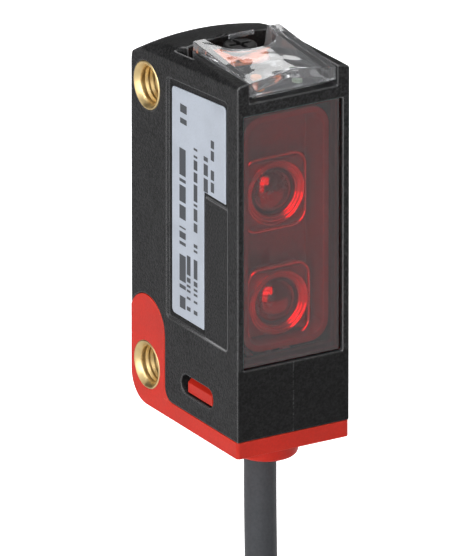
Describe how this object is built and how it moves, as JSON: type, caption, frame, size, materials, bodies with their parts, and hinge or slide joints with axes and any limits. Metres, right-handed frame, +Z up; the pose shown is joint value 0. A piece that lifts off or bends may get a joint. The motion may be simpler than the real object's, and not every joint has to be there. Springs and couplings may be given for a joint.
{
  "type": "photoelectric sensor",
  "caption": "Slim cubic photoelectric sensor in a black and red housing with a red filter window, clear indicator cover, adjusting screw, brass mounting sleeves and a coiled cable.",
  "frame": {"origin": "midway between the axes of the two brass sleeves, in the middle of the width", "axes": "+Z up along the housing, the lens side faces -Y, the sleeves run along X"},
  "size_m": [0.0537, 0.0466, 0.0914],
  "materials": {
    "black_plastic": "fine moulded grain",
    "red_plastic": "satin moulded",
    "brass": "turned, bright",
    "red_filter": "polished, dark red",
    "clear_plastic": "polished, clear",
    "spindle_plastic": "satin",
    "spring_steel": "ground",
    "orange_rubber": "smooth",
    "slide_plastic": "smooth",
    "mirror_glass": "polished",
    "label_film": "silver film",
    "carrier_plastic": "smooth",
    "lens_plastic": "polished",
    "emitter_resin": "moulded resin",
    "diode_resin": "moulded resin",
    "circuit_board": "solder resist",
    "chip_resin": "moulded resin",
    "tinned_steel": "tinned",
    "capacitor_ceramic": "ceramic",
    "yellow_lamp": "lit lamp",
    "green_lamp": "unlit lamp",
    "tinned_pins": "tinned",
    "cable_jacket": "smooth soft jacket",
    "crimp_metal": "crimped",
    "tie_plastic": "smooth",
    "core_brown": "extruded",
    "core_white": "extruded",
    "core_blue": "extruded",
    "core_black": "extruded",
    "tinned_wire": "tinned strands"
  },
  "bodies": {
    "sensor": {"housing_shell": "black_plastic", "base_cap": "red_plastic", "upper_sleeve": "brass", "lower_sleeve": "brass", "front_window": "red_filter", "indicator_cover": "clear_plastic", "spindle_seal": "orange_rubber", "guide_pins": "spring_steel", "type_label": "label_film", "optics_carrier": "carrier_plastic", "receiver_lens": "lens_plastic", "transmitter_lens": "lens_plastic", "emitter_led": "emitter_resin", "receiver_diode": "diode_resin", "main_board": "circuit_board", "signal_chip": "chip_resin", "shield_can": "tinned_steel", "chip_capacitors": "capacitor_ceramic", "indicator_board": "circuit_board", "status_led_yellow": "yellow_lamp", "status_led_green": "green_lamp", "board_pins": "tinned_pins", "cable_jacket_end": "cable_jacket", "cable_clamp": "crimp_metal", "cable_lead": "cable_jacket", "cable_coil": "cable_jacket", "cable_tail": "cable_jacket", "coil_tie": "tie_plastic", "inner_core_brown": "core_brown", "end_core_brown": "core_brown", "inner_core_white": "core_white", "end_core_white": "core_white", "inner_core_blue": "core_blue", "end_core_blue": "core_blue", "inner_core_black": "core_black", "end_core_black": "core_black", "tinned_tips": "tinned_wire"},
    "spindle": {"adjusting_spindle": "spindle_plastic", "spindle_clip": "spring_steel"},
    "slide": {"mirror_carriage": "slide_plastic", "deflecting_mirror": "mirror_glass"}
  },
  "joints": [
    {"name": "spindle_turn", "type": "hinge", "parent": "sensor", "child": "spindle", "pos_m": [0, -0.00625, 0.01515], "axis": [0, 0, 1], "range_deg": [-1080, 1080]},
    {"name": "carriage_slide", "type": "slide", "parent": "sensor", "child": "slide", "axis": [0, 0, 1], "range_m": [-0.0012, 0.0012]}
  ],
  "couplings": [
    {"joint": "spindle_turn", "follows": "carriage_slide", "rad_per_m": -15708}
  ]
}
